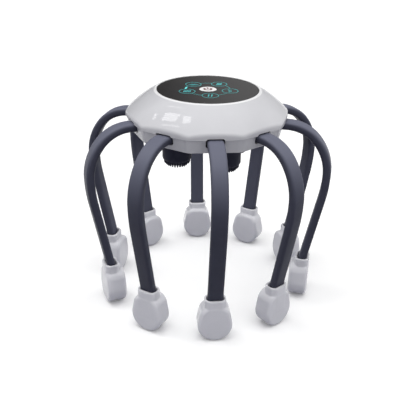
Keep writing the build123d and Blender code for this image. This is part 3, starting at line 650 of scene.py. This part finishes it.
def arc(centre, radius, start, end, steps=24):
    """Points along an arc, its angles in degrees."""
    angles = np.radians(np.linspace(start, end, steps))
    return [(centre[0] + radius * math.cos(a), centre[1] + radius * math.sin(a)) for a in angles]


def gather(strokes, z):
    """Points and faces of all strokes in one skin."""
    points, faces = [], []
    for line, width, closed in strokes:
        new_points, new_faces = stroke(line, width, z, closed)
        faces += [tuple(len(points) + i for i in face) for face in new_faces]
        points += new_points
    return points, faces


def circle(centre, radius, steps=48):
    """Points round a circle, without the first one twice."""
    return arc(centre, radius, 0, 360 - 360 / steps, steps)


def symbol_strokes(index, centre):
    """Lines of one generic mode mark: slanted bars, or arcs."""
    cx, cy = centre
    places, lean, half, bar_width = BAR_MARKS.get(index, ((), 0, 0, 0))
    strokes = []
    for place in places:
        bar = [(cx + place - lean, cy - half), (cx + place + lean, cy + half)]
        strokes.append((bar, bar_width, False))
    for (across, up), radius, first, last, width in ARC_MARKS.get(index, ()):
        strokes.append((arc((cx + across, cy + up), radius, first, last), width, False))
    return strokes


panel_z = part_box("control_panel")[1].z / MM
half_gap = math.degrees(2 * math.asin(SYMBOL_R / 2 / SYMBOL_CIRCLE))
strokes = []
for index in range(SYMBOL_COUNT):
    direction = FIRST_ARM_ANGLE + 360.0 / SYMBOL_COUNT * index
    centre = arc(SYMBOL_CENTRE, SYMBOL_CIRCLE, direction, direction, steps=1)[0]
    strokes.append((circle(centre, SYMBOL_R), LINE_WIDTH, True))
    strokes += symbol_strokes(index, centre)
    next_direction = direction + 360.0 / SYMBOL_COUNT
    link = arc(SYMBOL_CENTRE, SYMBOL_CIRCLE, direction + half_gap, next_direction - half_gap)
    strokes.append((link, LINK_WIDTH, False))
points, faces = gather(strokes, panel_z)
symbols = new_object("mode_symbols", points, faces, PRINT_TEAL, smooth=False)
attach(symbols, "root")

lit_line = arc(SYMBOL_CENTRE, SYMBOL_CIRCLE - LIT_SET_IN, *LIT_ARC, steps=8)
points, faces = gather([(lit_line, LIT_WIDTH, False)], panel_z + LIT_RISE)
lit = new_object("lit_indicator", points, faces, PRINT_LIT, smooth=False)
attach(lit, "root")

button_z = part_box("power_button")[1].z / MM
power_ring = arc((0, 0), POWER_MARK_R, *POWER_MARK_ARC, steps=32)
power_bar = [(0, y) for y in POWER_BAR]
points, faces = gather(
    [(power_ring, POWER_MARK_WIDTH, False), (power_bar, POWER_BAR_WIDTH, False)], button_z
)
power_mark = new_object("power_mark", points, faces, PRINT_RED, smooth=False)
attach(power_mark, "power_button")


# ------------------------------------------------------------------ floor, light and camera
def direction_vector(heading, height):
    """Unit vector from a heading and a height in degrees."""
    heading, height = math.radians(heading), math.radians(height)
    level = math.cos(height)
    return Vector((math.sin(heading) * level, math.cos(heading) * level, math.sin(height)))


def sky_patch(tree, heading, height, core, reach, amount):
    """Soft round patch of the sky: the amount within the core angle, nothing beyond the reach."""
    direction = tree.nodes.new("ShaderNodeTexCoord")
    towards = tree.nodes.new("ShaderNodeVectorMath")
    towards.operation = "DOT_PRODUCT"
    towards.inputs[1].default_value = direction_vector(heading, height)
    tree.links.new(direction.outputs["Generated"], towards.inputs[0])
    start, end = math.cos(math.radians(reach)), math.cos(math.radians(core))
    patch = ramp(tree, towards.outputs["Value"], 0.0, amount, start, end)
    patch.node.interpolation_type = "SMOOTHSTEP"
    return patch


def math_node(tree, operation, a, b):
    """Sum, product and the like of two values or outputs."""
    node = tree.nodes.new("ShaderNodeMath")
    node.operation = operation
    for socket, value in zip(node.inputs, (a, b)):
        if isinstance(value, float):
            socket.default_value = value
        else:
            tree.links.new(value, socket)
    return node.outputs["Value"]


def seen_ray(tree):
    """1 for rays that show a surface as it is: from the camera, in a mirror or through glass."""
    path = tree.nodes.new("ShaderNodeLightPath")
    seen = path.outputs["Is Camera Ray"]
    for kind in ("Is Glossy Ray", "Is Transmission Ray"):
        seen = math_node(tree, "MAXIMUM", seen, path.outputs[kind])
    return seen


def make_floor():
    """Pale floor, white where it is seen, that keeps the soft shadow and sends little light back up."""
    material, tree, shader = material_nodes("floor_pale")
    colour = colour_mix(tree, seen_ray(tree), FLOOR_BOUNCE, FLOOR_SEEN)
    tree.links.new(colour, shader.inputs["Base Color"])
    shader.inputs["Roughness"].default_value = 0.9
    shader.inputs["Specular IOR Level"].default_value = 0.0
    shader.inputs["Emission Color"].default_value = (1, 1, 1, 1)
    lift = math_node(tree, "MULTIPLY", seen_ray(tree), FLOOR_LIFT)
    tree.links.new(lift, shader.inputs["Emission Strength"])
    corners = [(x * FLOOR_REACH, y * FLOOR_REACH, 0) for x, y in ((-1, -1), (1, -1), (1, 1), (-1, 1))]
    floor = new_object("floor", corners, [(0, 1, 2, 3)], material, smooth=False)
    floor.location.z = -FLOOR_DROP * MM


def window_pane(name, heading, height, turn, shift, size, level):
    """Small bright card far from the dome, which shows as a pane in its gloss."""
    light = bpy.data.lights.new(name, "AREA")
    light.shape = "RECTANGLE"
    light.size = 2 * WINDOW_DISTANCE * math.tan(math.radians(size[0] / 2))
    light.size_y = 2 * WINDOW_DISTANCE * math.tan(math.radians(size[1] / 2))
    light.energy = level * math.pi * light.size * light.size_y
    away = direction_vector(heading, height)
    place = Vector(WINDOW_TARGET) * MM + away * WINDOW_DISTANCE
    facing = (-away).to_track_quat("-Z", "Y").to_matrix().to_4x4()
    facing = facing @ Matrix.Rotation(math.radians(turn), 4, "Z")
    across, up = (WINDOW_DISTANCE * math.tan(math.radians(s)) for s in shift)
    obj = bpy.data.objects.new(name, light)
    obj.matrix_world = Matrix.Translation(place) @ facing @ Matrix.Translation((across, up, 0.0))
    bpy.context.scene.collection.objects.link(obj)


def fill_lamp():
    """Weak lamp in the ring of arms, under the hub."""
    light = bpy.data.lights.new("fill_lamp", "AREA")
    light.shape = "DISK"
    light.size = 2 * FILL_R * MM
    light.energy = FILL_LEVEL * math.pi * math.pi * (FILL_R * MM) ** 2
    light.specular_factor = 0.0
    obj = bpy.data.objects.new("fill_lamp", light)
    obj.location.z = FILL_Z * MM
    obj.visible_camera = False
    bpy.context.scene.collection.objects.link(obj)


def make_world():
    """Studio sky: lit from overhead and the sides, duller low at the back, white where it is seen."""
    world = bpy.data.worlds.new("studio")
    bpy.context.scene.world = world
    world.use_nodes = True
    tree = world.node_tree
    background = tree.nodes["Background"]
    level = ramp(tree, seen_ray(tree), SKY_LIGHT, SKY_SEEN, 0.0, 1.0)
    for dull in DULL_SHARES:
        share = math_node(tree, "SUBTRACT", 1.0, sky_patch(tree, *dull))
        level = math_node(tree, "MULTIPLY", level, share)
    for glow in GLOWS:
        level = math_node(tree, "ADD", level, sky_patch(tree, *glow))
    path = tree.nodes.new("ShaderNodeLightPath")
    strength = tree.nodes.new("ShaderNodeMix")
    tree.links.new(path.outputs["Is Camera Ray"], strength.inputs["Factor"])
    tree.links.new(level, strength.inputs["A"])
    strength.inputs["B"].default_value = SKY_SEEN
    tree.links.new(strength.outputs["Result"], background.inputs["Strength"])
    background.inputs["Color"].default_value = (1, 1, 1, 1)


def make_camera():
    """Camera of the photograph, turned by heading, pitch and roll."""
    camera = bpy.data.objects.new("camera", bpy.data.cameras.new("camera"))
    camera.data.lens = CAMERA_LENS
    camera.data.sensor_width = CAMERA_SENSOR
    camera.data.clip_start = CAMERA_CLIP
    forward = direction_vector(CAMERA_HEADING, -CAMERA_PITCH)
    right = forward.cross(Vector((0, 0, 1))).normalized()
    up = right.cross(forward)
    roll = math.radians(CAMERA_ROLL)
    x_axis = math.cos(roll) * right + math.sin(roll) * up
    y_axis = math.cos(roll) * up - math.sin(roll) * right
    basis = Matrix((x_axis, y_axis, -forward)).transposed().to_4x4()
    camera.matrix_world = Matrix.Translation(Vector(CAMERA_PLACE) * MM) @ basis
    bpy.context.scene.collection.objects.link(camera)
    bpy.context.scene.camera = camera


make_floor()
make_world()
for pane in WINDOW_PANES:
    window_pane(*pane)
fill_lamp()
make_camera()
bpy.context.scene.view_settings.view_transform = "Standard"
